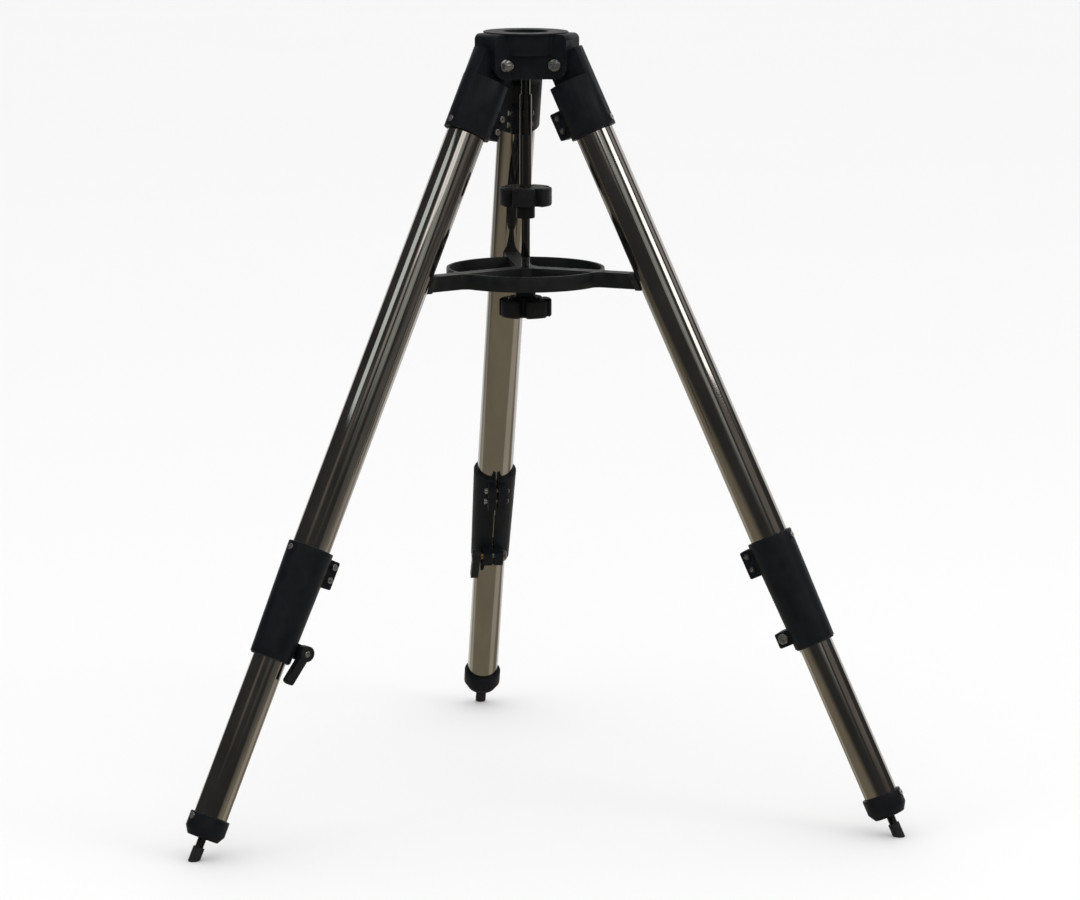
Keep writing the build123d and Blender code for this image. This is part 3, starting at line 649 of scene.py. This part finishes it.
def clamp_bolt(leg):
    """Hexagon head on one side of the collar, a socket in the far end inside the lever."""
    place = across_leg(leg)
    flip = place_along(place.translation, -place.col[2].xyz, place.col[0].xyz)
    own, local = centred(points_of(f"clamp_bolt_{leg}"), flip)
    heights = levels(local)
    flats = 2 * radius_at(local, heights[-1]) * cos(pi / 6)
    shank = radius_at(local, heights[0])
    socket = hexagon(flats / 3)
    end, seat, top = heights[0], heights[-2], heights[-1]
    profile = [
        (socket, end + 3 * MM),
        (socket, end),
        (shank - THREAD_DEPTH * M8_PITCH, end),
        *thread(shank, M8_PITCH, end + 0.5 * M8_PITCH, end + 9 * M8_PITCH),
        (shank, seat),
        *hex_top(flats, seat, top),
    ]
    return turned("bolt", profile, own, 48)


for leg in LEGS:
    screws = [leg_screw(points, leg) for points in islands(f"leg_screws_{leg}")]
    group(f"leg_screws_{leg}", f"leg_socket_screws_{leg}", screws)
    nuts = [pinch_nut(points, leg) for points in islands(f"leg_nuts_{leg}")]
    group(f"leg_nuts_{leg}", f"leg_hex_nuts_{leg}", nuts, DULL_STEEL)
    foot_screw = socket_screw(points_of(f"foot_screw_{leg}"), outward_of_leg(leg))
    group(f"foot_screw_{leg}", f"foot_socket_screw_{leg}", [foot_screw])
    group(f"clamp_bolt_{leg}", f"clamp_hex_bolt_{leg}", [clamp_bolt(leg)])


# ---- threaded rods -------------------------------------------------------------------------
M12_PITCH = 1.75 * MM
THREAD_START = 300 * MM  # depth at which the rod's lower thread begins
ROD_END_INSET = 1 * MM
ROD_EDGE = 0.5 * MM
ROD_LINE = 0.01 * MM  # keeps a step's two rings apart
GROOVE_CLEAR = 0.05 * MM
GROOVE_SPARE = 0.1 * MM


def foot_rod(leg):
    """Threaded rod between the foot cap and the rubber tip."""
    local = local_points(f"foot_rod_{leg}", LEG_PLACES[leg])
    low, high = local[:, 2].min(), local[:, 2].max()
    radius = (local[:, 0].max() - local[:, 0].min()) / 2
    core = radius - THREAD_DEPTH * M12_PITCH
    end = 0.1 * MM
    profile = [(core, low), *thread(radius, M12_PITCH, low + end, high - end), (core, high)]
    stand_for(turned(f"foot_stud_{leg}", profile, LEG_PLACES[leg], 40), f"foot_rod_{leg}", DULL_STEEL)


def centre_rod():
    """The mounting rod: stud thread, clip groove, thick grip stretch and the tray's thread."""
    local = points_of("center_rod")
    heights = levels(local)
    low, high = heights[0], heights[-1]
    thin = radius_at(local, heights[1])
    thick = np.hypot(local[:, 0], local[:, 1]).max()
    step, shoulder = [z for z in heights if radius_at(local, z) > thin + ROD_END_INSET]
    clip = points_of("rod_clip")
    groove = np.hypot(clip[:, 0], clip[:, 1]).min() - GROOVE_CLEAR
    groove_low, groove_high = clip[:, 2].min() - GROOVE_SPARE, clip[:, 2].max() + GROOVE_SPARE
    profile = [(thin - ROD_END_INSET, low)]
    profile += thread(thin, M12_PITCH, low + ROD_EDGE, -THREAD_START)
    profile += [(thin, step - ROD_LINE), (thick - ROD_EDGE, step), (thick, step + ROD_EDGE)]
    profile += [(thick, shoulder - ROD_EDGE), (thick - ROD_EDGE, shoulder), (thin, shoulder + ROD_LINE)]
    profile += [(thin, groove_low), (groove, groove_low), (groove, groove_high), (thin, groove_high)]
    profile += thread(thin, M12_PITCH, groove_high + ROD_EDGE, high - ROD_EDGE)
    profile += [(thin - ROD_END_INSET, high)]
    rod = turned("mounting_rod", profile, CENTRE_PLACE, 48)
    stand_for(rod, "center_rod", SHADED_ROD_STEEL)
    rod.data.materials.append(DULL_STEEL)
    for polygon in rod.data.polygons:
        polygon.material_index = int(polygon.center.z < -THREAD_START)


centre_rod()
for leg in LEGS:
    foot_rod(leg)


# ---- star knobs ------------------------------------------------------------------------------
LOBES = 5
KNOB_RADIUS = 35 * MM
VALLEY_RADIUS = 24.5 * MM
LOBE_MARGIN = 1 * MM
RIM_ROUND = 2.5 * MM
BREAK = 0.5 * MM  # edge break at a bore
ROUND = 1 * MM  # edge round of a neck
UPPER_VALLEY = 293  # direction of one valley, degrees
TRAY_VALLEY = 256


def star(first_valley, points=200):
    """Outline of a five-lobed knob: round lobes with a smooth valley between each pair."""
    outline = []
    for i in range(points):
        angle = 2 * pi * i / points
        share = ((angle - radians(first_valley)) * LOBES / (2 * pi)) % 1
        off_valley = min(share, 1 - share) * 2
        rise = min(1, max(0, (off_valley - 0.06) / 0.26))
        radius = VALLEY_RADIUS + (KNOB_RADIUS - VALLEY_RADIUS) * (3 - 2 * rise) * rise**2
        outline.append(Vector((radius * cos(angle), radius * sin(angle))))
    return outline


def rim(low, high):
    """Profile of the lobes' side with rounded edges, as (inset, height)."""
    side = rounded(KNOB_RADIUS, low, high, RIM_ROUND)
    return [(KNOB_RADIUS - radius, height) for radius, height in side]


def circles(*entries):
    """Round entries of a knob's profile, from pairs of radius and height."""
    return [("round", radius, height) for radius, height in entries]


def lobed_levels(local):
    """Heights at which a knob's points reach out to its lobes."""
    return [z for z in levels(local) if radius_at(local, z) > KNOB_RADIUS - LOBE_MARGIN]


def bore_at(local, height):
    ring = local[abs(local[:, 2] - height) < 2e-5]
    return np.hypot(ring[:, 0], ring[:, 1]).min()


def rod_knob():
    local = points_of("rod_knob")
    heights = levels(local)
    bottom, top = heights[0], heights[-1]
    neck, thin, thick = radius_at(local, bottom), bore_at(local, bottom), bore_at(local, top)
    lobes_low = min(lobed_levels(local)) - RIM_ROUND
    step = [z for z in heights if lobes_low < z < top - 15 * MM][-1]
    dish = top - 0.6 * MM
    profile = circles((thin, bottom + BREAK), (thin + BREAK, bottom))
    profile += circles((neck - ROUND, bottom), (neck, bottom + ROUND))
    profile += circles((neck, lobes_low - ROUND), (neck + ROUND, lobes_low))
    profile += rim(lobes_low, top) + [(6.5 * MM, top)]
    profile += circles((15 * MM, dish), (12 * MM, dish), (11 * MM, top))
    profile += circles((thick + BREAK, top), (thick, top - BREAK), (thick, step), (thin, step))
    knob = moulded("rod_star_knob", star(UPPER_VALLEY), profile, CENTRE_PLACE, loop=True)
    stand_for(knob, "rod_knob", PLASTIC)


def tray_knob():
    local = points_of("tray_knob")
    heights = levels(local)
    bottom, top = heights[0], heights[-1]
    neck, insert = radius_at(local, top), bore_at(local, top)
    rim_top = max(lobed_levels(local)) + RIM_ROUND
    hump = [z for z in heights if z > rim_top + ROUND and radius_at(local, z) > 15 * MM][-1]
    above = [z for z in heights if z > bottom + ROUND]
    bore_floor = min(z for z in above if radius_at(local, z) < insert + 0.1 * MM)
    dish = bottom + 1.2 * MM
    lip = 0.8 * MM
    profile = circles((12 * MM, dish), (17 * MM, dish), (18.2 * MM, bottom))
    profile += rim(bottom, rim_top) + [(6 * MM, rim_top)]
    profile += circles((23.5 * MM, rim_top), (22.6 * MM, hump - 1.2 * MM), (21.4 * MM, hump))
    profile += circles((neck + ROUND, hump), (neck, hump + ROUND))
    profile += circles((neck, top - lip), (neck - lip, top), (insert, top), (insert, bore_floor))
    knob = moulded("tray_star_knob", star(TRAY_VALLEY), profile, CENTRE_PLACE)
    stand_for(knob, "tray_knob", PLASTIC)


rod_knob()
tray_knob()


# ---- stage, lights and camera ----------------------------------------------------------
FLOOR_RADIUS = 40
EVEN_LIGHT = 1.14
ROOM = (0.028, 0.026, 0.024)
FLOOR_EDGE = -23
FLOOR_GLOW = (0.15, 0.125, 0.085)
# azimuth from and to, elevation from and to, softness (degrees), colour
ROOM_BANDS = [
    (30, 118, -24, 60, 6, (0.62, 0.61, 0.60)),
    (116, 145, -40, -8, 6, (0.20, 0.19, 0.17)),
    (-116, -102, 22, 60, 2.5, (0.24, 0.22, 0.20)),
    (-138, -122, 16, 27, 3, (0.08, 0.07, 0.06)),
    (-92, -78, 14, 60, 2.5, (0.22, 0.22, 0.20)),
    (-80, -66, 10, 60, 2.5, (0.22, 0.22, 0.20)),
    (-88, -66, 4, 10, 2.5, (0.05, 0.05, 0.045)),
    (-54, -16, 8, 23, 4, (0.10, 0.085, 0.075)),
    (-54, -18, -30, 2, 6, (0.06, 0.055, 0.05)),
    (-12, 24, -60, -8, 5, (0.17, 0.15, 0.14)),
    (-8, 14, 20, 60, 3, (0.22, 0.20, 0.19)),
]


def floor():
    mesh = bmesh.new()
    bmesh.ops.create_circle(mesh, cap_ends=True, radius=FLOOR_RADIUS, segments=96)
    bmesh.ops.translate(mesh, verts=mesh.verts, vec=(0, 0, FLOOR))
    plane = finish_mesh("floor", mesh)
    material = new_material("floor_paint", (0.86, 0.86, 0.86), 0.8)
    plain = mapped(material)
    patches = noise(material, plain, 0.6, 2)
    colour_range(material, patches, ((0.862, 0.862, 0.862), (0.868, 0.868, 0.868)))
    dress(plane, material)
    plane.visible_glossy = False


def softbox(name, azimuth, distance, low, high, width, radiance, colour=(1, 1, 1)):
    """Upright rectangular softbox facing the tripod, from a low to a high edge."""
    turn = radians(azimuth)
    middle = Vector((distance * cos(turn), distance * sin(turn), (low + high) / 2))
    data = bpy.data.lights.new(name, "AREA")
    data.shape = "RECTANGLE"
    data.size = width
    data.size_y = high - low
    data.energy = radiance * pi * data.size * data.size_y
    data.color = colour
    lamp = bpy.data.objects.new(name, data)
    bpy.context.scene.collection.objects.link(lamp)
    lamp.location = middle
    lamp.rotation_euler = (Vector((0, 0, -0.4)) - middle).to_track_quat("-Z", "Y").to_euler()


def studio_world():
    """Even pale light all round; in reflections, the dim room with its pale sheet behind."""
    world = bpy.data.worlds.new("studio")
    bpy.context.scene.world = world
    world.use_nodes = True
    nodes = world.node_tree.nodes
    links = world.node_tree.links

    def node(kind, **settings):
        made = nodes.new(kind)
        for key, setting in settings.items():
            setattr(made, key, setting)
        return made

    def math(operation, *inputs):
        made = node("ShaderNodeMath", operation=operation)
        for socket, entry in zip(made.inputs, inputs):
            if isinstance(entry, (int, float)):
                socket.default_value = entry
            else:
                links.new(entry, socket)
        return made.outputs[0]

    def step(source, edge, soft):
        made = node("ShaderNodeMapRange", interpolation_type="SMOOTHSTEP")
        made.inputs["From Min"].default_value = edge - soft
        made.inputs["From Max"].default_value = edge + soft
        links.new(source, made.inputs["Value"])
        return made.outputs["Result"]

    def band(source, low, high, soft):
        return math("MULTIPLY", step(source, low, soft), math("SUBTRACT", 1.0, step(source, high, soft)))

    def add_light(total, mask, colour):
        made = node("ShaderNodeVectorMath", operation="MULTIPLY_ADD")
        links.new(mask, made.inputs[0])
        made.inputs[1].default_value = colour
        if isinstance(total, tuple):
            made.inputs[2].default_value = total
        else:
            links.new(total, made.inputs[2])
        return made.outputs[0]

    direction = node("ShaderNodeTexCoord").outputs["Generated"]
    split = node("ShaderNodeSeparateXYZ")
    links.new(direction, split.inputs[0])
    x, y, z = split.outputs
    azimuth = math("MULTIPLY", math("ARCTAN2", y, x), degrees(1))
    height = math("MULTIPLY", math("ARCSINE", z), degrees(1))

    room = add_light(ROOM, band(height, -120, FLOOR_EDGE, 9), FLOOR_GLOW)
    for low, high, bottom, top, soft, colour in ROOM_BANDS:
        mask = math("MULTIPLY", band(azimuth, low, high, soft), band(height, bottom, top, 5))
        room = add_light(room, mask, colour)

    even = nodes["Background"]
    even.inputs["Color"].default_value = (1, 1, 1, 1)
    even.inputs["Strength"].default_value = EVEN_LIGHT
    dim = node("ShaderNodeBackground")
    links.new(room, dim.inputs["Color"])
    mix = node("ShaderNodeMixShader")
    links.new(node("ShaderNodeLightPath").outputs["Is Glossy Ray"], mix.inputs["Fac"])
    links.new(even.outputs[0], mix.inputs[1])
    links.new(dim.outputs[0], mix.inputs[2])
    links.new(mix.outputs[0], nodes["World Output"].inputs["Surface"])


CAMERA_PLACE = (-0.6490, -5.1539, 0.3830)
CAMERA_TURN = -7.395
CAMERA_TILT = 10.316
CAMERA_ROLL = 0.098
LENS = 130.73


def camera():
    data = bpy.data.cameras.new("camera")
    data.sensor_width = 36
    data.lens = LENS
    data.clip_end = 60
    eye = bpy.data.objects.new("camera", data)
    bpy.context.scene.collection.objects.link(eye)
    turn = Matrix.Rotation(radians(CAMERA_TURN), 4, "Z") @ Matrix.Rotation(radians(90 - CAMERA_TILT), 4, "X")
    eye.matrix_world = Matrix.Translation(CAMERA_PLACE) @ turn @ Matrix.Rotation(radians(CAMERA_ROLL), 4, "Z")
    bpy.context.scene.camera = eye


floor()
studio_world()
softbox("softbox_left", 202, 3.4, 1.15, 2.8, 1.7, 0.62, (0.93, 1.0, 0.96))
softbox("softbox_right", 326, 3.4, 0.95, 2.6, 1.5, 1.7, (1.0, 0.98, 0.95))
softbox("softbox_front", 262, 4.6, 2.6, 4.2, 2.2, 0.8, (1.0, 0.97, 0.93))
camera()
bpy.context.scene.view_settings.view_transform = "Standard"
